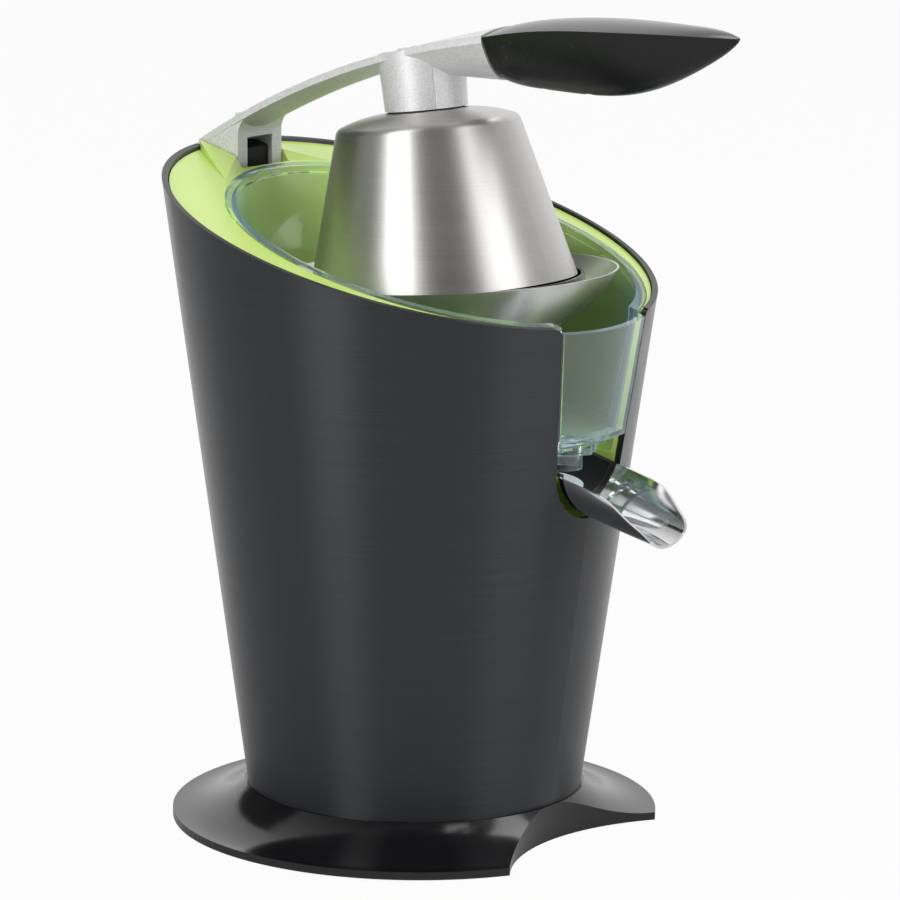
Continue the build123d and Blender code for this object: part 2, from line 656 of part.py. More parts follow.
def sump():
    """Thick floor round the bowl's outlet, with a scalloped edge."""
    low, high = BOWL_FLOOR_Z - SUMP_DROP, BOWL_FLOOR_Z + BOWL_WALL
    lobe = ring(SUMP_LOBE_R, 0, low, high)
    angles = [i * 360 / SUMP_LOBES for i in range(SUMP_LOBES)]
    lobes = [place * lobe for place in around(SUMP_R - SUMP_LOBE_R, angles)]
    return Pos(OUTLET_X, 0, 0) * (ring(SUMP_R - SUMP_LOBE_R / 2, 0, low, high) + lobes)


def juice_bowl():
    inside = BOWL_WALL
    wall = bowl_profile(0, BOWL_FLOOR_Z) - above_rim(DECK_DROP - BOWL_LIP_PROUD)
    lip = lip_recess(0, BOWL_LIP_T) - above_rim(DECK_DROP - BOWL_LIP_PROUD)
    floor_up = ring(BASE_R, 0, BAY_FLOOR_Z, SHELL_TOP_Z)
    bay = (cone(0, LEDGE_Z, SHELL_TOP_Z) & straight_slot(2 * SLIP)) & floor_up
    bay -= above_rim(BAY_DROP)
    outlet = Pos(OUTLET_X, 0, 0) * ring(OUTLET_R, 0, OUTLET_END_Z, BOWL_FLOOR_Z)
    body = wall + lip + bay + sump() + outlet
    body -= bowl_profile(-inside, BOWL_FLOOR_Z + inside)
    bay_inside = cone(BAY_WALL, LEDGE_Z, SHELL_TOP_Z) & straight_slot(2 * SLIP + BAY_WALL)
    body -= bay_inside & ring(BASE_R + OVERRUN, 0, BAY_FLOOR_Z + inside, SHELL_TOP_Z)
    body -= Pos(OUTLET_X, 0, 0) * ring(OUTLET_R - OUTLET_WALL, 0, OUTLET_END_Z - FIT, BAY_FLOOR_Z + inside)
    seat_low = SIEVE_FLOOR - SIEVE_SEAT_T
    floor_low = CASE_TOP
    chimney = ring(CHIMNEY_R, 0, floor_low, CHIMNEY_TOP) + ring(SIEVE_SEAT_R, 0, seat_low, SIEVE_FLOOR)
    over_floor = ring(BASE_R, 0, BOWL_FLOOR_Z, SHELL_TOP_Z)
    body += (PRESS * chimney) & over_floor
    return body - PRESS * ring(CHIMNEY_R - CHIMNEY_WALL, 0, floor_low, SHAFT_TOP)


def sieve():
    """Pressed steel bowl with a flat floor and a hole for the chimney."""
    rise = SIEVE_T
    hole_r = CHIMNEY_R + SEAT_GAP
    mid_r, low_r = SIEVE_R - SIEVE_MID_IN, SIEVE_R - SIEVE_LOW_IN
    inner_low = (low_r - rise / 2, SIEVE_LOW + rise)
    lines = [
        ThreePointArc((SIEVE_R, 0), (mid_r, SIEVE_MID), (low_r, SIEVE_LOW)),
        Polyline((low_r, SIEVE_LOW), (SIEVE_FLAT_R, SIEVE_FLOOR), (hole_r, SIEVE_FLOOR),
                 (hole_r, SIEVE_FLOOR + rise), (SIEVE_FLAT_R, SIEVE_FLOOR + rise), inner_low),
        ThreePointArc(inner_low, (mid_r - rise, SIEVE_MID + rise / 2), (SIEVE_R - rise, 0)),
        Line((SIEVE_R - rise, 0), (SIEVE_R, 0)),
    ]
    bowl = revolve(Plane.XZ * make_face(lines), Axis.Z)
    hole = ring(SIEVE_HOLE_R, 0, SIEVE_FLOOR - OVERRUN, 0)
    step = 360 / SIEVE_ROW_COUNT
    holes = []
    for row in range(SIEVE_ROWS):
        radius = SIEVE_R - SIEVE_ROW_IN - row * SIEVE_ROW_STEP
        angles = [step * (i + row / 2) for i in range(SIEVE_ROW_COUNT)]
        holes += [place * hole for place in around(radius, angles)]
    return PRESS * (bowl - holes)


def dome(radius, low, top):
    """Round-sided cone of the reamer."""
    mid = (radius * DOME_FULL_SHARES[0], low + (top - low) * DOME_FULL_SHARES[1])
    lines = [
        Polyline((0, top), (0, low), (radius, low)),
        Spline((radius, low), mid, (0, top), tangents=((0, 1), (-1, 0))),
    ]
    return revolve(Plane.XZ * make_face(lines), Axis.Z)


def reamer():
    """Ribbed cone on a slotted skirt with an upright ring at its edge."""
    body = dome(DOME_R, SKIRT_LOW, DOME_TOP)
    plate = block(-RIB_R, RIB_R, RIB_WIDE / 2, SKIRT_LOW, RIB_TOP)
    ribs = dome(RIB_R, SKIRT_LOW, RIB_TOP)
    for i in range(RIB_PLATES):
        body += ribs & (Rot(0, 0, i * 180 / RIB_PLATES) * plate)
    body += ring(RING_R, RING_R - RING_WALL, RING_LOW, RING_TOP)
    body += turned((0, SKIRT_LOW), (DOME_R, SKIRT_LOW), (RING_R, RING_LOW), (RING_R, RING_LOW + SKIRT_T),
                   (DOME_R, SKIRT_LOW + SKIRT_T), (0, SKIRT_LOW + SKIRT_T))
    end, below, above = RING_R - DRAIN_INSET, SKIRT_LOW - SKIRT_T, RING_LOW + 2 * SKIRT_T
    drain = block(end - DRAIN_LONG, end, DRAIN_WIDE / 2, below, above)
    body -= [Rot(0, 0, (i + 0.5) * 360 / DRAIN_COUNT) * drain for i in range(DRAIN_COUNT)]
    body += ring(HUB_R, 0, HUB_LOW, SKIRT_LOW)
    body -= ring(HUB_BORE_R, 0, HUB_LOW, HUB_ROOF)
    hexagon = RegularPolygon(HEX_R + FIT, 6)
    socket = extrude(Plane.XY.offset(HUB_ROOF) * hexagon, SHAFT_TOP + SEAT_GAP - HUB_ROOF)
    return PRESS * (body - socket)


def output_shaft():
    """Round shaft with a hexagon at the top for the reamer."""
    hexagon = extrude(Plane.XY.offset(HEX_LOW) * RegularPolygon(HEX_R, 6), SHAFT_TOP - HEX_LOW)
    return PRESS * (ring(SHAFT_R, 0, SHAFT_LOW, HEX_LOW) + hexagon)


def shaft_bushes():
    tops = (TOWER_TOP, CASE_TOP + BUSH_LONG)
    return Compound([PRESS * ring(BUSH_R - 2 * FIT, SHAFT_R + FIT, top - BUSH_LONG, top) for top in tops])


def shaft_seal():
    return PRESS * ring(SEAL_R, SHAFT_R + FIT, TOWER_TOP, TOWER_TOP + SEAL_T)


def gear(teeth, low, high, bore, phase):
    """Spur gear with straight-sided teeth; a phase of 0.5 turns it by half a tooth."""
    pitch_r = MODULE * teeth / 2
    root_r, tip_r = pitch_r - MODULE * DEDENDUM_SHARE, pitch_r + MODULE * ADDENDUM_SHARE
    step = 360 / teeth
    points = []
    for i in range(teeth):
        middle = (i + phase) * step
        for radius, share in ((root_r, -TOOTH_ROOT_SHARE), (tip_r, -TOOTH_TIP_SHARE),
                              (tip_r, TOOTH_TIP_SHARE), (root_r, TOOTH_ROOT_SHARE)):
            angle = radians(middle + share * step / 2)
            points.append((radius * cos(angle), radius * sin(angle)))
    face = make_face(Polyline(*points, close=True)) - Circle(bore)
    return extrude(Plane.XY.offset(low) * face, high - low)


def output_gear():
    wheel = gear(WHEEL_TEETH, OUT_GEAR_LOW, OUT_GEAR_TOP, SHAFT_R + FIT, 0.5)
    return PRESS * (wheel + ring(OUT_HUB_R, SHAFT_R + FIT, OUT_HUB_LOW, OUT_HUB_TOP))


def lay_gear():
    """Wheel and pinion in one piece on the layshaft."""
    bore = LAY_PIN_R + FIT
    wheel = gear(WHEEL_TEETH, LAY_WHEEL_LOW, LAY_WHEEL_TOP, bore, 0.5)
    pinion = gear(PINION_TEETH, LAY_PINION_LOW, LAY_PINION_TOP, bore, 0)
    neck = ring(LAY_HUB_R, bore, LAY_WHEEL_TOP, LAY_PINION_LOW)
    return PRESS * Pos(-SHAFT_GAP, 0, 0) * (wheel + neck + pinion)


def lay_pin():
    return PRESS * Pos(-SHAFT_GAP, 0, 0) * ring(LAY_PIN_R, 0, COVER_LOW, CASE_TOP)


def thrust_washer():
    """Washer under the output gear, with an arm that works the start switch."""
    low = WASHER_TOP - WASHER_T
    finger = block(0, FINGER_LONG, FINGER_WIDE / 2, low, WASHER_TOP)
    return PRESS * (ring(WASHER_R, 0, low, WASHER_TOP) + finger - ring(SHAFT_R + FIT, 0, low, WASHER_TOP))


def cupped_washers(outer, inner, low, high, rise, count):
    """Stack of cupped spring washers, turned over one by one."""
    pitch = (high - low) / count
    dish = rise - SPRING_T
    solids = []
    for i in range(count):
        floor = low + i * pitch
        outer_z, inner_z = (floor, floor + dish) if i % 2 == 0 else (floor + dish, floor)
        solids.append(turned((inner, inner_z), (outer, outer_z),
                             (outer, outer_z + SPRING_T), (inner, inner_z + SPRING_T)))
    return solids


def start_spring():
    washer_low = WASHER_TOP - WASHER_T
    stack = cupped_washers(SPRING_R, SHAFT_R + SEAT_GAP, PLATE_TOP, washer_low,
                           (washer_low - PLATE_TOP) / SPRING_COUNT - SEAT_GAP, SPRING_COUNT)
    return Compound([PRESS * solid for solid in stack])


def start_switch():
    """Small snap switch on the gear plate, its plunger under the washer's arm."""
    middle = FINGER_LONG - FINGER_WIDE / 2
    body = Pos(middle, 0, PLATE_TOP + SWITCH_TALL / 2) * Box(SWITCH_WIDE, SWITCH_LONG, SWITCH_TALL)
    top = PLATE_TOP + SWITCH_TALL
    return PRESS * (body + Pos(middle, 0, 0) * ring(PLUNGER_R, 0, top, top + PLUNGER_TALL))


def gear_plate():
    """Plate across the case that carries the shaft's end, the spring and the switch."""
    plate = extrude(Plane.XY.offset(PLATE_TOP - PLATE_T) * case_outline(-CASE_WALL - FIT), PLATE_T)
    plate -= ring(SHAFT_R + FIT, 0, PLATE_TOP - PLATE_T, PLATE_TOP)
    lay_hole = ring(LAY_HUB_R + SLIP, 0, PLATE_TOP - PLATE_T, PLATE_TOP)
    return PRESS * (plate - Pos(-SHAFT_GAP, 0, 0) * lay_hole)


def case_screw_places():
    """Screws at the case's waist, two on each side."""
    y = CASE_R + SCREW_HEAD_R
    return [Pos(x, side * y, 0) for x in (0, -SHAFT_GAP) for side in (1, -1)]


def case_ears(low, high):
    """Ears for the case screws."""
    ears = [place * ring(MOTOR_EAR_R, 0, low, high) for place in case_screw_places()]
    webs = [Pos(x, 0, (low + high) / 2) * Box(2 * SCREW_HEAD_R, 2 * (CASE_R + SCREW_HEAD_R), high - low)
            for x in (0, -SHAFT_GAP)]
    return ears + webs


def case_screw_holes(seat):
    hole = ring(SCREW_R + FIT, 0, seat - CASE_SCREW_LONG, seat + CASE_SCREW_LONG)
    return [PRESS * place * hole for place in case_screw_places()]


def gearbox_case():
    solid = extrude(Plane.XY.offset(CASE_LOW) * case_outline(0), CASE_TOP - CASE_LOW)
    solid += case_ears(CASE_TOP - CASE_COVER_T, CASE_TOP)
    solid -= extrude(Plane.XY.offset(CASE_LOW) * case_outline(-CASE_WALL), CASE_TOP - CASE_WALL - CASE_LOW)
    solid -= ring(SHAFT_R + SLIP, 0, CASE_LOW, CASE_TOP)
    solid -= Pos(-SHAFT_GAP, 0, 0) * ring(LAY_PIN_R + FIT, 0, CASE_LOW, CASE_TOP)
    body = PRESS * solid
    return body - case_screw_holes(CASE_TOP)


def gearbox_screws():
    seat = CASE_TOP - CASE_COVER_T
    return PRESS * screws(case_screw_places(), SCREW_R, SCREW_HEAD_R, seat, CASE_SCREW_LONG)


def motor_screw_places():
    return around(MOTOR_SCREW_CIRCLE_R, (90, 270))


def gearbox_cover():
    """Plate that closes the case and carries the motor."""
    plate = extrude(Plane.XY.offset(COVER_LOW) * case_outline(0), CASE_COVER_T)
    plate += ring(MOTOR_R, 0, COVER_LOW, CASE_LOW)
    plate -= ring(ROTOR_SHAFT_R + FIT, 0, COVER_LOW, CASE_LOW)
    plate -= Pos(-SHAFT_GAP, 0, 0) * ring(LAY_PIN_R + FIT, 0, COVER_LOW, CASE_LOW)
    hole = ring(SCREW_R + FIT, 0, COVER_LOW, CASE_LOW)
    return PRESS * (plate - [place * hole for place in motor_screw_places()])


def motor_screws():
    """Screws from inside the gearbox cover down into the motor."""
    shank = ring(SCREW_R, 0, COVER_LOW - MOTOR_CAP_T, CASE_LOW)
    return Compound([PRESS * place * shank for place in motor_screw_places()])


def motor_can():
    can = ring(MOTOR_R, 0, MOTOR_LOW, COVER_LOW)
    can -= ring(MOTOR_R - MOTOR_WALL, 0, MOTOR_LOW, COVER_LOW - MOTOR_CAP_T)
    can -= ring(ROTOR_SHAFT_R + SLIP, 0, MOTOR_LOW, COVER_LOW)
    hole = ring(SCREW_R + FIT, 0, COVER_LOW - MOTOR_CAP_T, COVER_LOW)
    return PRESS * (can - [place * hole for place in motor_screw_places()])


def motor_cap():
    """Lower end of the motor, with the rotor's bearing."""
    cap = ring(MOTOR_R - MOTOR_WALL - FIT, 0, MOTOR_LOW, MOTOR_LOW + MOTOR_CAP_T)
    return PRESS * (cap - ring(ROTOR_SHAFT_R + FIT, 0, MOTOR_LOW, MOTOR_LOW + MOTOR_CAP_T))


def motor_stator():
    return PRESS * ring(STATOR_R, STATOR_BORE_R, STATOR_LOW, STATOR_TOP)


def motor_rotor():
    rotor = ring(ROTOR_SHAFT_R, 0, MOTOR_LOW, PINION_TOP)
    rotor += ring(ROTOR_R, 0, STATOR_LOW, STATOR_TOP)
    return PRESS * (rotor + ring(COMMUTATOR_R, 0, COMMUTATOR_LOW, COMMUTATOR_TOP))


def motor_pinion():
    return PRESS * gear(PINION_TEETH, PINION_LOW, PINION_TOP, ROTOR_SHAFT_R + FIT, 0)


def hinge_screw_places():
    along = (FORK_HALF + LUG_HALF) / 2
    return [Pos(PIN_X, side * along, 0) for side in (1, -1)]


def hinge_screw_holes():
    hole = ring(SCREW_R + FIT, 0, TAIL_SLOT_Z - OVERRUN / 2, TAIL_SLOT_Z + FIT)
    return [place * hole for place in hinge_screw_places()]


def hinge_bracket():
    """Black block that stands in the pocket and carries the pin."""
    rear, front, top = PIN_X - LUG_HALF_LONG, PIN_X + LUG_HALF_LONG, TAIL_SLOT_Z + BRACKET_FOOT_T
    foot = block(rear, front, FORK_HALF, TAIL_SLOT_Z, top)
    lug = block(rear, front, LUG_HALF, TAIL_SLOT_Z, PIN_Z + LUG_R)
    pin_line = Pos(PIN_X, 0, PIN_Z) * Rot(90, 0, 0)
    below = block(PIN_X - LUG_R, PIN_X + LUG_R, LUG_HALF, TAIL_SLOT_Z, PIN_Z)
    lug &= below + pin_line * ring(LUG_R, 0, -LUG_HALF, LUG_HALF)
    bracket = foot + lug - pin_line * ring(PIN_R + FIT, 0, -FORK_HALF, FORK_HALF)
    hole = ring(SCREW_R + FIT, 0, TAIL_SLOT_Z, top)
    return bracket - [place * hole for place in hinge_screw_places()]


def hinge_screws():
    """Screws down through the bracket's foot into the pocket's floor."""
    top = TAIL_SLOT_Z + BRACKET_FOOT_T
    return Compound([place * ring(SCREW_R, 0, top - HINGE_SCREW_LONG, top) for place in hinge_screw_places()])


def hinge_pin():
    return Pos(PIN_X, 0, PIN_Z) * Rot(90, 0, 0) * ring(PIN_R, 0, -FORK_HALF, FORK_HALF)


def arm_section(x, belly, crown):
    """Section of the arm across X: crowned top, upright edges and a round belly."""
    half, top = arm_half(x), arm_top(x)
    low = top - ARM_EDGE
    lines = [
        Line((-half, low), (-half, top)),
        Bezier((-half, top), (0, top + 2 * crown), (half, top)),
        Line((half, top), (half, low)),
        Bezier((half, low), (0, low - 2 * belly), (-half, low)),
    ]
    return Plane.YZ.offset(x) * make_face(lines)


def arm_half(x):
    """Half width of the arm: it widens from the tail to the boss and narrows a little to the grip."""
    if x < CUP_X:
        return ARM_TAIL_HALF + (ARM_BOSS_HALF - ARM_TAIL_HALF) * (x - ARM_TAIL_X) / (CUP_X - ARM_TAIL_X)
    return ARM_BOSS_HALF + (ARM_HEAD_HALF - ARM_BOSS_HALF) * (x - CUP_X) / (ARM_HEAD_X - CUP_X)


def arm_arch():
    """Thin arch from the tail to the boss, flat on top."""
    end = CUP_X - BOSS_R
    stations = [ARM_TAIL_X + (end - ARM_TAIL_X) * i / 4 for i in range(5)]
    return loft([arm_section(x, ARM_BELLY, 0) for x in stations])


def arm_keel():
    """Deep part between the boss and the grip, level underneath, its crown growing to that of the grip."""
    start, crown = CUP_X - BOSS_R, GRIP_CROWN * GRIP_CROWN_SHARES[0]
    stations = [(start + (ARM_HEAD_X - start) * i / 2, crown * i / 2) for i in range(3)]
    return loft([arm_section(x, arm_top(x) - ARM_EDGE - KEEL_Z, rise) for x, rise in stations])


def under_arm_top(drop):
    """Everything that lies under the arm's top by the drop."""
    tail, middle, head = [(x, arm_top(x) - drop) for x in (ARM_TAIL_X, CUP_X, ARM_HEAD_X)]
    lines = [ThreePointArc(tail, middle, head), Polyline(head, (ARM_HEAD_X, 0), (ARM_TAIL_X, 0), tail)]
    return side_plate(make_face(lines), BASE_R)


def fork():
    """Two cheeks about the hinge pin, a bar over the window and a round corner to the arm."""
    front = PIN_X + KNUCKLE_R
    rear = ARM_TAIL_X + ARM_EDGE / 2
    cover = ARM_EDGE / 2
    outline = Polyline((PIN_X - KNUCKLE_R, PIN_Z), (front, PIN_Z), (front, arm_top(front) - cover),
                       (rear, arm_top(rear) - cover), (rear, arm_top(rear) - ARM_EDGE - ARM_BELLY),
                       close=True)
    cheek = make_face(outline) + Pos(PIN_X, PIN_Z) * Circle(KNUCKLE_R)
    body = side_plate(cheek, FORK_HALF) - side_plate(cheek, FORK_GAP_HALF)
    bar = front - 2 * ARM_EDGE
    body += block(bar, front, FORK_GAP_HALF, WINDOW_TOP_Z, arm_top(bar) - cover)
    reach = front + GUSSET
    under, under_front = arm_top(reach) - ARM_EDGE, arm_top(front) - ARM_EDGE - GUSSET
    hollow = ((front + reach) / 2 - GUSSET / 6, (under + under_front) / 2 + GUSSET / 3)
    gusset = [
        Polyline((reach, under), (reach, under + cover), (front - cover, under),
                 (front - cover, under_front), (front, under_front)),
        ThreePointArc((front, under_front), hollow, (reach, under)),
    ]
    body += side_plate(make_face(gusset), FORK_HALF)
    pin_line = Pos(PIN_X, 0, PIN_Z) * Rot(90, 0, 0)
    return body - pin_line * ring(PIN_R + FIT, 0, -FORK_HALF, FORK_HALF)


def boss():
    """Round boss over the cup, with two shallow flutes, running up into the arm."""
    low, high = CUP_TALL + CUP_WASHER_T, CUP_TALL + CUP_WASHER_T + BOSS_LONG
    grow = BOSS_LONG * tan(radians(BOSS_DRAFT))
    solid = turned((0, low), (BOSS_R, low), (BOSS_R + grow, high), (0, high))
    flute = ring(BOSS_GROOVE_R, 0, low - BOSS_LONG, high + BOSS_LONG)
    flute = Pos(BOSS_R, 0, low) * Rot(0, BOSS_DRAFT, 0) * Pos(0, 0, -low) * flute
    flutes = [Rot(0, 0, side * BOSS_GROOVE_ANGLE) * flute for side in (1, -1)]
    return (CUP * (solid - flutes)) & under_arm_top(ARM_EDGE / 4)


def stud_socket():
    top = CUP_TALL + CUP_WASHER_T + STUD_LONG
    return CUP * ring(STUD_R + FIT, 0, CUP_TALL, top + SEAT_GAP)


def button_place():
    return Location((BUTTON_X, 0, arm_top(BUTTON_X)), (0, -arm_slope(BUTTON_X), 0))


def button_depth():
    """Depth of the button's hole: the button, its travel and the spring."""
    return BUTTON_TALL - BUTTON_PROUD + BUTTON_SPRING_RISE * BUTTON_SPRING_COUNT + SEAT_GAP


def lever_arm():
    swing = Pos(PIN_X, 0, PIN_Z) * Rot(90, 0, 0) * ring(SWING_R, 0, -FORK_GAP_HALF, FORK_GAP_HALF)
    window = block(PIN_X, PIN_X + KNUCKLE_R + FIT, FORK_GAP_HALF, PIN_Z - SWING_R, WINDOW_TOP_Z)
    body = arm_arch() + arm_keel() + fork() + boss() - swing - window
    body += button_place() * ring(COLLAR_R, 0, -ARM_EDGE, COLLAR_PROUD)
    body -= button_place() * ring(BUTTON_R + SEAT_GAP, 0, -button_depth(), OVERRUN)
    low, high = TANG_Z - TANG_TALL / 2, TANG_Z + TANG_TALL / 2
    tang = block(ARM_HEAD_X - ARM_EDGE, ARM_HEAD_X + TANG_LONG, TANG_HALF, low, high)
    body = body + tang - stud_socket()
    hole = ring(SCREW_R + FIT, 0, KEEL_Z - OVERRUN, TANG_Z + TANG_TALL / 4)
    return body - [place * hole for place in grip_screw_places()]


def release_button():
    low = BUTTON_PROUD - BUTTON_TALL
    body = ring(BUTTON_R, 0, low, BUTTON_PROUD)
    rim = body.edges().group_by(Axis.Z)[-1]
    return button_place() * fillet(rim, BUTTON_PROUD / 2)


def button_spring():
    low, high = -button_depth(), BUTTON_PROUD - BUTTON_TALL
    rise = (high - low) / BUTTON_SPRING_COUNT - SEAT_GAP
    stack = cupped_washers(BUTTON_SPRING_R, BUTTON_SPRING_R / 2, low, high, rise, BUTTON_SPRING_COUNT)
    return Compound([button_place() * solid for solid in stack])


def press_cup():
    """Steel cone with a rounded corner and a domed top that is flat under the boss."""
    def solid(inset):
        mouth, top, fall = CUP_R - inset, CUP_TALL - inset, CUP_TOP_FALL
        corner = (mouth - (top - fall) * tan(radians(CUP_TAPER)), top - fall)
        dome = ((BOSS_R + corner[0]) / 2, top - fall / 2 + fall * CUP_DOME_SHARE)
        lines = [
            Polyline((0, top), (0, 0), (mouth, 0), corner),
            ThreePointArc(corner, dome, (BOSS_R, top)),
            Line((BOSS_R, top), (0, top)),
        ]
        face = make_face(lines)
        face = fillet(face.vertices().sort_by(Axis.X)[-2], CUP_SHOULDER - inset)
        return revolve(Plane.XZ * face, Axis.Z)
    hole = ring(STUD_R + FIT, 0, 0, CUP_TALL + OVERRUN)
    return CUP * (solid(0) - solid(CUP_WALL) - hole)


def cup_stud():
    """Stud through the cup's top, with its head inside the cup."""
    inside = CUP_TALL - CUP_WALL
    shank = ring(STUD_R, 0, inside - STUD_HEAD_T, CUP_TALL + CUP_WASHER_T + STUD_LONG)
    return CUP * (shank + ring(STUD_HEAD_R, 0, inside - STUD_HEAD_T, inside))


def cup_washer():
    return CUP * ring(CUP_WASHER_R, STUD_R + FIT, CUP_TALL, CUP_TALL + CUP_WASHER_T)


def grip_stations():
    """Sections along the grip: place, half width, ridge height, depth of the hull, height of the crown."""
    ridge = ARM_HEAD_Z - ARM_EDGE / 4
    tables = (GRIP_STATION_SHARES, GRIP_HALF_SHARES, GRIP_RIDGE_SHARES, GRIP_DEEP_SHARES, GRIP_CROWN_SHARES)
    return [(GRIP_X + GRIP_LONG * along, GRIP_HALF * half, ridge + GRIP_RIDGE_RISE * rise,
             GRIP_DEEP * deep, GRIP_CROWN * crown) for along, half, rise, deep, crown in zip(*tables)]


def grip_lower():
    """Black hull under the ridge, hollow for the arm's tang."""
    faces = []
    for x, half, ridge, deep, _ in grip_stations():
        hull = Bezier((half, ridge), (0, ridge - 2 * deep), (-half, ridge))
        faces.append(Plane.YZ.offset(x) * make_face([Line((-half, ridge), (half, ridge)), hull]))
    tall = TANG_TALL / 2 + SLIP
    hole = block(ARM_HEAD_X, ARM_HEAD_X + TANG_LONG + SLIP, TANG_HALF + SLIP, TANG_Z - tall, TANG_Z + tall)
    below = KEEL_Z - OVERRUN
    sunk = ring(SCREW_R + FIT, 0, below, TANG_Z) + ring(SCREW_HEAD_R + FIT, 0, below, TANG_Z - TANG_TALL)
    return loft(faces) - hole - [place * sunk for place in grip_screw_places()]


def grip_top():
    """Grey leaf-shaped cover over the ridge."""
    faces = []
    for x, half, ridge, _, crown in grip_stations():
        low = ridge + SEAT_GAP
        lines = [Line((-half, low), (half, low)), ThreePointArc((half, low), (0, low + crown), (-half, low))]
        faces.append(Plane.YZ.offset(x) * make_face(lines))
    return loft(faces)


def grip_screw_places():
    return [Pos(GRIP_X + GRIP_LONG * share, 0, 0) for share in GRIP_SCREW_SHARES]


def grip_screws():
    return screws(grip_screw_places(), SCREW_R, SCREW_HEAD_R, TANG_Z - TANG_TALL, TANG_TALL)


def spout_tube(outer, inner, start, end):
    """Tube along the spout."""
    return Pos(0, 0, SPOUT_AXIS) * Rot(0, 90, 0) * ring(outer, inner, start, end)


def spout():
    """Polished trough: a tube with its upper side cut away along a falling line."""
    tube = spout_tube(SPOUT_R, SPOUT_R - SPOUT_WALL, SPOUT_START, SPOUT_END)
    high = SPOUT_AXIS + 2 * SPOUT_R
    lines = [
        Line((SPOUT_START - OVERRUN, SPOUT_EDGE), (SPOUT_BEND, SPOUT_EDGE)),
        Spline((SPOUT_BEND, SPOUT_EDGE), SPOUT_MID, SPOUT_TIP, tangents=((1, 0), (0, -1))),
        Polyline(SPOUT_TIP, (SPOUT_TIP[0], -high), (SPOUT_END + OVERRUN, -high), (SPOUT_END + OVERRUN, high),
                 (SPOUT_START - OVERRUN, high), (SPOUT_START - OVERRUN, SPOUT_EDGE)),
    ]
    return SPOUT * (tube - side_plate(make_face(lines), 2 * SPOUT_R))


def spout_insert():
    """Black root of the spout: a half tube with the seal's pedestal and the pivot."""
    half_tube = spout_tube(INSERT_R, INSERT_R - INSERT_WALL, SPOUT_PIN_R, INSERT_END)
    top = SPOUT_AXIS + 2 * SPOUT_R
    half_tube -= block(-OVERRUN, SPOUT_END, 2 * SPOUT_R, INSERT_EDGE, top)
    pedestal = Pos(DISC_S, 0, 0) * ring(PEDESTAL_R, 0, SPOUT_AXIS - INSERT_R + INSERT_WALL - FIT, -DISC_T)
    web = block(0, INSERT_WEB, INSERT_R - 2 * INSERT_WALL, -SPOUT_BOSS_R, SPOUT_BOSS_R)
    pivot = Rot(90, 0, 0) * ring(SPOUT_BOSS_R, 0, -SPOUT_BOSS_HALF, SPOUT_BOSS_HALF)
    body = half_tube + pedestal + web + pivot
    return SPOUT * (body - Rot(90, 0, 0) * ring(SPOUT_PIN_R + FIT, 0, -SPOUT_BOSS_HALF, SPOUT_BOSS_HALF))


def spout_seal():
    return SPOUT * Pos(DISC_S, 0, 0) * ring(DISC_R, 0, -DISC_T, 0)


def spout_pin():
    half = CHUTE_HALF + CHUTE_WALL
    return Pos(SPOUT_PIN_X, 0, SPOUT_PIN_Z) * Rot(90, 0, 0) * ring(SPOUT_PIN_R, 0, -half, half)


def cord_gland():
    """Rubber bush at the back, with an empty bore."""
    depth = SHELL_WALL + SLIP + INNER_WALL
    bush = ring(GLAND_R, 0, -depth, SEAT_GAP) + ring(GLAND_FLANGE_R, 0, SEAT_GAP, GLAND_FLANGE_T)
    return gland_place() * (bush - ring(GLAND_BORE_R, 0, -depth, GLAND_FLANGE_T))


PIECES = (
    base, bottom_cover, rubber_feet, base_screws, cover_screws, body_shell, inner_body, juice_bowl,
    sieve, reamer, output_shaft, shaft_bushes, shaft_seal, output_gear, thrust_washer, start_spring,
    start_switch, gear_plate, lay_gear, lay_pin, gearbox_case, gearbox_cover, gearbox_screws,
    motor_can, motor_cap, motor_stator, motor_rotor, motor_pinion, motor_screws, hinge_bracket,
    hinge_screws, hinge_pin, lever_arm, grip_lower, grip_top, grip_screws, press_cup, cup_stud,
    cup_washer, release_button, button_spring, spout, spout_insert, spout_seal, spout_pin,
    cord_gland,
)

os.makedirs("parts", exist_ok=True)
for piece in PIECES:
    export_step(piece(), f"parts/{piece.__name__}.step")
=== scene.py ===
import json
from math import cos, radians, sin

import bpy
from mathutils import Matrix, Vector


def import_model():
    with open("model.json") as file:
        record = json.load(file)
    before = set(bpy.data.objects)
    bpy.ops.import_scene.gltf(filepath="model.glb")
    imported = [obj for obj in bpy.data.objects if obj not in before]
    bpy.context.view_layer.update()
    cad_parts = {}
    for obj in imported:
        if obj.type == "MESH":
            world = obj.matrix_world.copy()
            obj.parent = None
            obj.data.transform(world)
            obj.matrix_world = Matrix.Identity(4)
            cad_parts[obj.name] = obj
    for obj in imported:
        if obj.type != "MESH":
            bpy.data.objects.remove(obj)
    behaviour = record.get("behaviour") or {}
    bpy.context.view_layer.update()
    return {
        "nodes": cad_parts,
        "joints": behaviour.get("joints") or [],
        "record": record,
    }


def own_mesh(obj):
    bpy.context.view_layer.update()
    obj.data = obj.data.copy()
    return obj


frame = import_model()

# Camera, fitted to the photograph
CAMERA_AZIMUTH = 37.0        # degrees from the juicer's right side towards its front
CAMERA_DISTANCE = 1.8033     # metres from the body's axis, along the floor
CAMERA_HEIGHT = 0.5139
CAMERA_LEVEL = 90.0          # degrees about X at which a camera looks level
CAMERA_PITCH = 11.301        # degrees down
CAMERA_ROLL = -0.411         # degrees
CAMERA_LENS = 180.0          # millimetres, as is the sensor
CAMERA_SENSOR = 36.0
CAMERA_SHIFT_X = 0.0300      # share of the picture's width

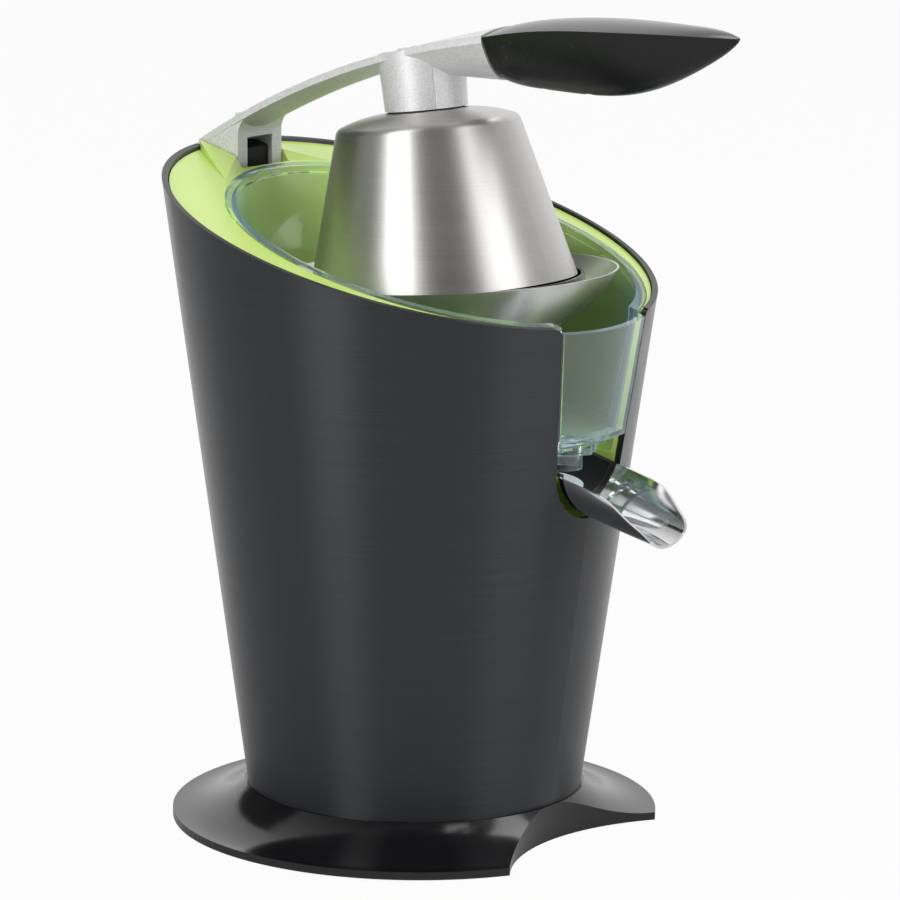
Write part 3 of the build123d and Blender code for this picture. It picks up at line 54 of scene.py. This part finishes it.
# Stage
FLOOR_SIZE = 12.0
VIEW_REACH = 2 * FLOOR_SIZE  # how far the camera sees
FLOOR_GLOW_SHARE = 0.95      # white that the camera sees, the rest shows the shadow
FLOOR_PAINT = (0.62, 0.62, 0.62, 1.0)
WORLD_FILL = 0.42            # soft light from all round
WORLD_FRONT = 0.10           # what polished pieces mirror on the camera's side
WORLD_TURN = (-0.20, 0.80)   # between these the mirrored studio turns from dark to white
FLOOR_TURN = (0.05, 0.45)    # the same on the floor, metres behind the body's axis
WHITE = (1.0, 1.0, 1.0, 1.0)

# Lamps: azimuth, height, distance, width and height of the lamp, power
LAMPS = {
    "strip_left": (-4.5, 0.80, 1.5, 0.66, 1.3, 15.5),
    "box_right": (92.0, 0.80, 1.5, 0.95, 1.3, 11.5),
    "top": (150.0, 1.60, 0.7, 1.0, 1.0, 11.0),
}
LAMP_TARGET_Z = 0.20

# Dark cards that the polished parts reflect: azimuth, height, distance, width and height of the card
CARDS = {
    "card_left": (-85.0, 0.60, 1.2, 1.2, 1.3),
    "card_middle": (16.0, 0.60, 1.25, 0.34, 1.3),
}

# Colours, linear
ANTHRACITE = (0.019, 0.0205, 0.0235, 1.0)
LIME = (0.53, 0.72, 0.165, 1.0)
BLACK = (0.006, 0.006, 0.007, 1.0)
SOFT_BLACK = (0.008, 0.008, 0.009, 1.0)
SATIN_GREY = (0.062, 0.062, 0.065, 1.0)
CLEAR = (0.93, 0.98, 0.965, 1.0)
PANE = (0.97, 0.99, 0.99, 1.0)       # what one clear face lets through from the lamps
BLUE_EDGE = (0.40, 0.76, 1.0, 1.0)   # veil of the clear moulding, strongest at its edges
SILVER = (0.74, 0.74, 0.75, 1.0)
STEEL = (0.60, 0.59, 0.575, 1.0)
SIEVE_STEEL = (0.68, 0.675, 0.665, 1.0)
POLISHED = (0.78, 0.78, 0.79, 1.0)
RUBBER = (0.020, 0.020, 0.020, 1.0)
PALE_RUBBER = (0.62, 0.66, 0.70, 1.0)
NATURAL = (0.72, 0.72, 0.69, 1.0)
BRONZE = (0.45, 0.29, 0.13, 1.0)
COPPER = (0.52, 0.22, 0.10, 1.0)

# Finishes. Marks are counted per metre along X, Y and Z, or per metre all round.
# Shades are the darkest and the lightest share of the colour.
# A bump has a strength and a depth in metres.
EVEN = (1, 1, 1)             # marks alike along X, Y and Z
HAIR_DETAIL = 4.0            # how often the marks are halved for finer ones
GRAIN_DETAIL = 3.0
SOFT_DETAIL = 2.0
LENGTHWISE_TURN = 0.25       # of a whole turn: shine drawn out along the axis

# Anthracite coat
COAT_METALLIC = 0.2
COAT_MARKS = (14, 14, 2600)
COAT_SHADES = (0.55, 1.45)
COAT_ROUGHNESS = (0.30, 0.42)
COAT_DRAWN = 0.85            # how far brushing draws the shine out
CUT_EDGE_SHADE_FACING = 0.7        # a face that looks outwards less than this is a cut edge, which gets painted shade in black

# Lime moulding
LIME_GLOSS = 0.2             # weight of the clear coat
LIME_GLOSS_ROUGHNESS = 0.1
LIME_SKIN_MARKS = 1500
LIME_CLOUD_MARKS = 14
LIME_SHADES = (0.94, 1.05)
LIME_ROUGHNESS = (0.25, 0.33)
LIME_BUMP = (0.02, 0.0001)

# Mouldings with a fine grain: colour, roughness, marks, strength of the bump, specular level
MOULDINGS = {
    "black_gloss": (BLACK, (0.12, 0.18), 260, 0.02, 0.5),
    "grip_black": (BLACK, (0.24, 0.34), 900, 0.04, 0.32),
    "black_matte": (SOFT_BLACK, (0.42, 0.55), 1400, 0.12, 0.3),
    "grey_satin": (SATIN_GREY, (0.15, 0.22), 2200, 0.04, 0.5),
    "rubber": (RUBBER, (0.62, 0.78), 1100, 0.15, 0.5),
    "seal": (PALE_RUBBER, (0.38, 0.5), 900, 0.06, 0.5),
    "white_plastic": (NATURAL, (0.36, 0.46), 900, 0.06, 0.5),
}
MOULDING_SHADES = (0.85, 1.15)
MOULDING_DEPTH = 0.0003

# Clear moulding
CLEAR_TRANSMISSION = 0.97
CLEAR_IOR = 1.30
CLEAR_VEIL = 0.42
CLEAR_VEIL_ROUGHNESS = 0.35
CLEAR_FLOW_MARKS = (30, 30, 9)
CLEAR_ROUGHNESS = (0.0, 0.03)

# Silver coat
SILVER_METALLIC = 0.5
SILVER_FLAKE_MARKS = 2400
SILVER_SHADES = (0.88, 1.12)
SILVER_ROUGHNESS = (0.42, 0.54)
SILVER_BUMP = (0.06, 0.0002)

# Brushed steel: colour, lean of the axis in degrees, roughness, marks along the axis
BRUSHED = {
    "cup_steel": (STEEL, 7.25, (0.36, 0.48), 3000),
    "sieve_steel": (SIEVE_STEEL, 3.0, (0.30, 0.38), 12000),
}
BRUSHED_CROSS_MARKS = 16
BRUSHED_SHADES = (0.84, 1.10)
BRUSHED_BUMP = (0.03, 0.0001)
BRUSHED_DRAWN = 0.65

# Polished steel
POLISHED_MARKS = 60
POLISHED_SHADES = (0.95, 1.03)
POLISHED_ROUGHNESS = (0.05, 0.11)
POLISHED_BUMP = (0.03, 0.001)

# Turned metal
TURNED_MARKS = (60, 60, 1800)
TURNED_SHADES = (0.88, 1.08)
TURNED_ROUGHNESS = (0.28, 0.42)


def feed(tree, socket, value):
    """Links a socket to another one, or sets it to a number, vector or colour."""
    if isinstance(value, bpy.types.NodeSocket):
        tree.links.new(value, socket)
    else:
        socket.default_value = value


def calculated(tree, kind, operation, values):
    """A node that works out its operation on sockets or fixed values."""
    node = tree.nodes.new(kind)
    node.operation = operation
    for socket, value in zip(node.inputs, values):
        feed(tree, socket, value)
    return node


def maths(tree, operation, *values):
    return calculated(tree, "ShaderNodeMath", operation, values).outputs["Value"]


def vector(tree, operation, *values):
    return calculated(tree, "ShaderNodeVectorMath", operation, values).outputs["Vector"]


def dot(tree, first, second):
    return calculated(tree, "ShaderNodeVectorMath", "DOT_PRODUCT", (first, second)).outputs["Value"]


def ramp(tree, value, least, most=1.0, turn=(0.0, 1.0)):
    """Goes from least to most while the value goes through the turn."""
    node = tree.nodes.new("ShaderNodeMapRange")
    limits = {"From Min": turn[0], "From Max": turn[1], "To Min": least, "To Max": most}
    for name, limit in limits.items():
        node.inputs[name].default_value = limit
    tree.links.new(value, node.inputs["Value"])
    return node.outputs["Result"]


def mixed(tree, share, first, second):
    """A shader between two others."""
    node = tree.nodes.new("ShaderNodeMixShader")
    for socket, value in zip(node.inputs, (share, first, second)):
        tree.links.new(value, socket)
    return node.outputs["Shader"]


class Look:
    """A material under construction: its node tree and main shader."""

    def __init__(self, name):
        self.material = bpy.data.materials.new(name)
        self.material.use_nodes = True
        self.tree = self.material.node_tree
        self.shader = self.tree.nodes["Principled BSDF"]

    def set(self, **values):
        """Sets sockets of the shader, whose spaces are written as underscores."""
        for name, value in values.items():
            self.shader.inputs[name.replace("_", " ")].default_value = value
        return self

    def drive(self, name, value):
        """Links a socket of the shader to a value that changes over the surface."""
        self.tree.links.new(value, self.shader.inputs[name])
        return self

    def place(self, stretch=EVEN, tilt=0.0):
        """The piece's own place in metres, stretched and tilted back about Y."""
        coordinates = self.tree.nodes.new("ShaderNodeTexCoord")
        mapping = self.tree.nodes.new("ShaderNodeMapping")
        mapping.inputs["Rotation"].default_value = (0, radians(tilt), 0)
        mapping.inputs["Scale"].default_value = stretch
        self.tree.links.new(coordinates.outputs["Object"], mapping.inputs["Vector"])
        return mapping.outputs["Vector"]

    def texture(self, kind, place, marks):
        node = self.tree.nodes.new(kind)
        node.inputs["Scale"].default_value = marks
        self.tree.links.new(place, node.inputs["Vector"])
        return node

    def noise(self, place, detail, marks=1.0):
        """Soft marks of even size, with finer ones in them."""
        node = self.texture("ShaderNodeTexNoise", place, marks)
        node.inputs["Detail"].default_value = detail
        return node.outputs["Fac"]

    def cells(self, place, marks):
        """One random value per small cell."""
        node = self.texture("ShaderNodeTexVoronoi", place, marks)
        split = self.tree.nodes.new("ShaderNodeSeparateColor")
        self.tree.links.new(node.outputs["Color"], split.inputs["Color"])
        return split.outputs["Red"]

    def blended(self, value, first, second):
        """A colour between two others."""
        mix = self.tree.nodes.new("ShaderNodeMix")
        mix.data_type = "RGBA"
        feed(self.tree, mix.inputs["A"], first)
        feed(self.tree, mix.inputs["B"], second)
        self.tree.links.new(value, mix.inputs["Factor"])
        return mix.outputs["Result"]

    def tint(self, value, first, second):
        """Lets the value choose the base colour between two others."""
        return self.drive("Base Color", self.blended(value, first, second))

    def rough(self, value, span):
        """Lets the value choose the roughness within a span."""
        return self.drive("Roughness", ramp(self.tree, value, *span))

    def bump(self, value, strength, depth):
        node = self.tree.nodes.new("ShaderNodeBump")
        node.inputs["Strength"].default_value = strength
        node.inputs["Distance"].default_value = depth
        self.tree.links.new(value, node.inputs["Height"])
        return self.drive("Normal", node.outputs["Normal"])

    def cut_edge_shade(self):
        """One on the cut edges of a sheet bent round Z, zero on its inner and outer skin: the mask for the
        painted shade on those edges.
        """
        coordinates = self.tree.nodes.new("ShaderNodeTexCoord")
        level = vector(self.tree, "MULTIPLY", coordinates.outputs["Object"], (1, 1, 0))
        outwards = vector(self.tree, "NORMALIZE", level)
        facing = maths(self.tree, "ABSOLUTE", dot(self.tree, outwards, coordinates.outputs["Normal"]))
        return maths(self.tree, "LESS_THAN", facing, CUT_EDGE_SHADE_FACING)

    def lets_light_through(self, colour):
        """Lets lamps shine through the piece, with its tint, onto what stands behind it."""
        path = self.tree.nodes.new("ShaderNodeLightPath")
        pane = self.tree.nodes.new("ShaderNodeBsdfTransparent")
        pane.inputs["Color"].default_value = colour
        shadow = path.outputs["Is Shadow Ray"]
        surface = mixed(self.tree, shadow, self.shader.outputs["BSDF"], pane.outputs["BSDF"])
        self.tree.links.new(surface, self.tree.nodes["Material Output"].inputs["Surface"])
        return self

    def brushed_round(self, drawn):
        """Draws the shine out along the piece's axis, as brushing round it does."""
        tangent = self.tree.nodes.new("ShaderNodeTangent")
        tangent.direction_type = "RADIAL"
        tangent.axis = "Z"
        self.drive("Tangent", tangent.outputs["Tangent"])
        return self.set(Anisotropic=drawn, Anisotropic_Rotation=LENGTHWISE_TURN)


def shades(colour, shares):
    """The colour made darker and lighter."""
    return [tuple(min(1.0, part * share) for part in colour[:3]) + (1.0,) for share in shares]


def anthracite():
    """Dark coat over sheet brushed round the body, with painted shade in black on its cut edges."""
    look = Look("anthracite").set(Metallic=COAT_METALLIC)
    hair = look.noise(look.place(COAT_MARKS), HAIR_DETAIL)
    skin = look.blended(hair, *shades(ANTHRACITE, COAT_SHADES))
    # painted shade: the cut edges are coloured black for the shade that lies along the rim and the slot's
    # edge
    look.tint(look.cut_edge_shade(), skin, BLACK)
    return look.rough(hair, COAT_ROUGHNESS).brushed_round(COAT_DRAWN)


def lime():
    """Glossy green moulding with a faint orange-peel skin."""
    look = Look("lime").set(Coat_Weight=LIME_GLOSS, Coat_Roughness=LIME_GLOSS_ROUGHNESS)
    skin = look.noise(look.place(), SOFT_DETAIL, LIME_SKIN_MARKS)
    cloud = look.noise(look.place(), SOFT_DETAIL, LIME_CLOUD_MARKS)
    look.tint(cloud, *shades(LIME, LIME_SHADES))
    return look.rough(skin, LIME_ROUGHNESS).bump(skin, *LIME_BUMP)


def moulded(name):
    """Moulding with a fine grain, glossy or matte by its roughness."""
    colour, roughness, marks, strength, specular = MOULDINGS[name]
    look = Look(name).set(Specular_IOR_Level=specular)
    grain = look.noise(look.place(), GRAIN_DETAIL, marks)
    look.tint(grain, *shades(colour, MOULDING_SHADES))
    return look.rough(grain, roughness).bump(grain, strength, MOULDING_DEPTH)


def black_gloss():
    return moulded("black_gloss")


def grip_black():
    return moulded("grip_black")


def black_matte():
    return moulded("black_matte")


def grey_satin():
    return moulded("grey_satin")


def rubber():
    return moulded("rubber")


def seal():
    return moulded("seal")


def white_plastic():
    return moulded("white_plastic")


def clear():
    """Clear moulding with a faint blue tint and soft flow marks."""
    look = Look("clear").set(Base_Color=CLEAR, Transmission_Weight=CLEAR_TRANSMISSION, IOR=CLEAR_IOR)
    look.set(Sheen_Weight=CLEAR_VEIL, Sheen_Roughness=CLEAR_VEIL_ROUGHNESS, Sheen_Tint=BLUE_EDGE)
    flow = look.noise(look.place(CLEAR_FLOW_MARKS), SOFT_DETAIL)
    return look.rough(flow, CLEAR_ROUGHNESS).lets_light_through(PANE)


def silver():
    """Silver coat with a fine metal sparkle."""
    look = Look("silver").set(Metallic=SILVER_METALLIC)
    flake = look.cells(look.place(), SILVER_FLAKE_MARKS)
    look.tint(flake, *shades(SILVER, SILVER_SHADES))
    return look.rough(flake, SILVER_ROUGHNESS).bump(flake, *SILVER_BUMP)


def brushed(name):
    """Steel brushed round an axis that leans back."""
    colour, lean, roughness, marks = BRUSHED[name]
    look = Look(name).set(Metallic=1.0)
    hair = look.noise(look.place((BRUSHED_CROSS_MARKS, BRUSHED_CROSS_MARKS, marks), lean), HAIR_DETAIL)
    look.tint(hair, *shades(colour, BRUSHED_SHADES))
    return look.rough(hair, roughness).bump(hair, *BRUSHED_BUMP).brushed_round(BRUSHED_DRAWN)


def cup_steel():
    return brushed("cup_steel")


def sieve_steel():
    return brushed("sieve_steel")


def polished_steel():
    """Bright steel with a faint ripple."""
    look = Look("polished_steel").set(Metallic=1.0)
    ripple = look.noise(look.place(), SOFT_DETAIL, POLISHED_MARKS)
    look.tint(ripple, *shades(POLISHED, POLISHED_SHADES))
    return look.rough(ripple, POLISHED_ROUGHNESS).bump(ripple, *POLISHED_BUMP)


def turned_metal(name, colour):
    """Plain metal with faint turning marks."""
    look = Look(name).set(Metallic=1.0)
    marks = look.noise(look.place(TURNED_MARKS), GRAIN_DETAIL)
    return look.tint(marks, *shades(colour, TURNED_SHADES)).rough(marks, TURNED_ROUGHNESS)


def steel():
    return turned_metal("steel", STEEL)


def bronze():
    return turned_metal("bronze", BRONZE)


def copper():
    return turned_metal("copper", COPPER)


SLOT_LOOKS = {
    "anthracite": anthracite, "lime": lime, "black_gloss": black_gloss, "black_matte": black_matte,
    "grey_satin": grey_satin, "clear": clear, "silver": silver, "brushed_steel": cup_steel,
    "polished_steel": polished_steel, "steel": steel, "rubber": rubber, "white_plastic": white_plastic,
    "seal": seal, "bronze": bronze, "copper": copper,
}
NODE_LOOKS = {"sieve": sieve_steel, "grip_lower": grip_black}


def dress(nodes, subparts):
    """Gives every solid the look of its slot, or its own where it has one."""
    made = {}
    for entry in subparts:
        name = entry["node"]
        maker = NODE_LOOKS.get(name, SLOT_LOOKS[entry["material_slot"]])
        if maker not in made:
            made[maker] = maker().material
        mesh = nodes[name].data
        mesh.materials.clear()
        mesh.materials.append(made[maker])


def press_springs(nodes, joints):
    """Gives each spring that a joint presses its own copy of its mesh."""
    for joint in joints:
        for entry in joint.get("deforming_nodes", []):
            spring = nodes[entry["node"]]
            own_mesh(spring)


def polar(azimuth, distance, height):
    """A place round the juicer; azimuth 0 is on its right side, 90 in front."""
    angle = radians(azimuth)
    return (distance * sin(angle), -distance * cos(angle), height)


def link(name, data):
    """A new object in the scene."""
    obj = bpy.data.objects.new(name, data)
    bpy.context.scene.collection.objects.link(obj)
    return obj


def aim(obj, height):
    """Turns an object's own -Z towards the body's axis at a height."""
    target = Vector((0, 0, height))
    obj.rotation_euler = (target - obj.location).to_track_quat("-Z", "Y").to_euler()


def camera():
    data = bpy.data.cameras.new("camera")
    data.lens = CAMERA_LENS
    data.sensor_width = CAMERA_SENSOR
    data.shift_x = CAMERA_SHIFT_X
    data.clip_end = VIEW_REACH
    viewer = link("camera", data)
    viewer.location = polar(CAMERA_AZIMUTH, CAMERA_DISTANCE, CAMERA_HEIGHT)
    turns = (CAMERA_LEVEL - CAMERA_PITCH, CAMERA_ROLL, CAMERA_AZIMUTH)
    viewer.rotation_euler = [radians(turn) for turn in turns]
    bpy.context.scene.camera = viewer


def lamps():
    for name, (azimuth, height, distance, wide, tall, power) in LAMPS.items():
        data = bpy.data.lights.new(name, "AREA")
        data.shape = "RECTANGLE"
        data.size = wide
        data.size_y = tall
        data.energy = power
        lamp = link(name, data)
        lamp.location = polar(azimuth, distance, height)
        aim(lamp, LAMP_TARGET_Z)


def plane(name, wide, tall):
    """A flat sheet of the stage."""
    mesh = bpy.data.meshes.new(name)
    corners = [(x * wide / 2, y * tall / 2, 0) for x, y in ((-1, -1), (1, -1), (1, 1), (-1, 1))]
    mesh.from_pydata(corners, [], [(0, 1, 2, 3)])
    obj = link(name, mesh)
    return obj


def seen_directly(tree):
    """One where a camera or transmission ray meets the surface."""
    path = tree.nodes.new("ShaderNodeLightPath")
    return maths(tree, "MAXIMUM", path.outputs["Is Camera Ray"], path.outputs["Is Transmission Ray"])


def mirrored(tree, output, turn):
    """Studio that polished pieces mirror: dark on the photograph's side, white behind the juicer."""
    path = tree.nodes.new("ShaderNodeLightPath")
    coordinates = tree.nodes.new("ShaderNodeTexCoord")
    x, y, _ = polar(CAMERA_AZIMUTH, 1.0, 0.0)
    away = dot(tree, coordinates.outputs[output], (-x, -y, 0))
    return maths(tree, "MULTIPLY", path.outputs["Is Glossy Ray"], ramp(tree, away, WORLD_FRONT, turn=turn))


def floor():
    """Pale floor: white to the camera, with the object's soft shadow on it."""
    material = bpy.data.materials.new("floor")
    material.use_nodes = True
    tree = material.node_tree
    tree.nodes.clear()
    paint = tree.nodes.new("ShaderNodeBsdfDiffuse")
    paint.inputs["Color"].default_value = FLOOR_PAINT
    glow = tree.nodes.new("ShaderNodeEmission")
    glow.inputs["Color"].default_value = WHITE
    white = maths(tree, "MAXIMUM", seen_directly(tree), mirrored(tree, "Object", FLOOR_TURN))
    share = maths(tree, "MULTIPLY", white, FLOOR_GLOW_SHARE)
    surface = mixed(tree, share, paint.outputs["BSDF"], glow.outputs["Emission"])
    output = tree.nodes.new("ShaderNodeOutputMaterial")
    tree.links.new(surface, output.inputs["Surface"])
    plane("floor", FLOOR_SIZE, FLOOR_SIZE).data.materials.append(material)


def cards():
    """Dark cards beside the camera, seen only in reflections."""
    look = Look("card").set(Base_Color=BLACK)
    for name, (azimuth, height, distance, wide, tall) in CARDS.items():
        card = plane(name, wide, tall)
        card.location = polar(azimuth, distance, height)
        aim(card, height)
        card.data.materials.append(look.material)
        card.visible_camera = False
        card.visible_shadow = False
        card.visible_diffuse = False


def world():
    """White to the camera, the mirrored studio to polished pieces, an even fill to the rest."""
    background = bpy.data.worlds.new("studio")
    bpy.context.scene.world = background
    background.use_nodes = True
    tree = background.node_tree
    light = tree.nodes["Background"]
    light.inputs["Color"].default_value = WHITE
    path = tree.nodes.new("ShaderNodeLightPath")
    shine = mirrored(tree, "Generated", WORLD_TURN)
    matte = maths(tree, "SUBTRACT", 1.0, path.outputs["Is Glossy Ray"])
    rest = maths(tree, "MULTIPLY", matte, ramp(tree, seen_directly(tree), WORLD_FILL))
    tree.links.new(maths(tree, "ADD", shine, rest), light.inputs["Strength"])


def studio():
    camera()
    lamps()
    floor()
    cards()
    world()
    bpy.context.scene.view_settings.view_transform = "Standard"


dress(frame["nodes"], frame["record"]["subparts"])
press_springs(frame["nodes"], frame["joints"])
studio()
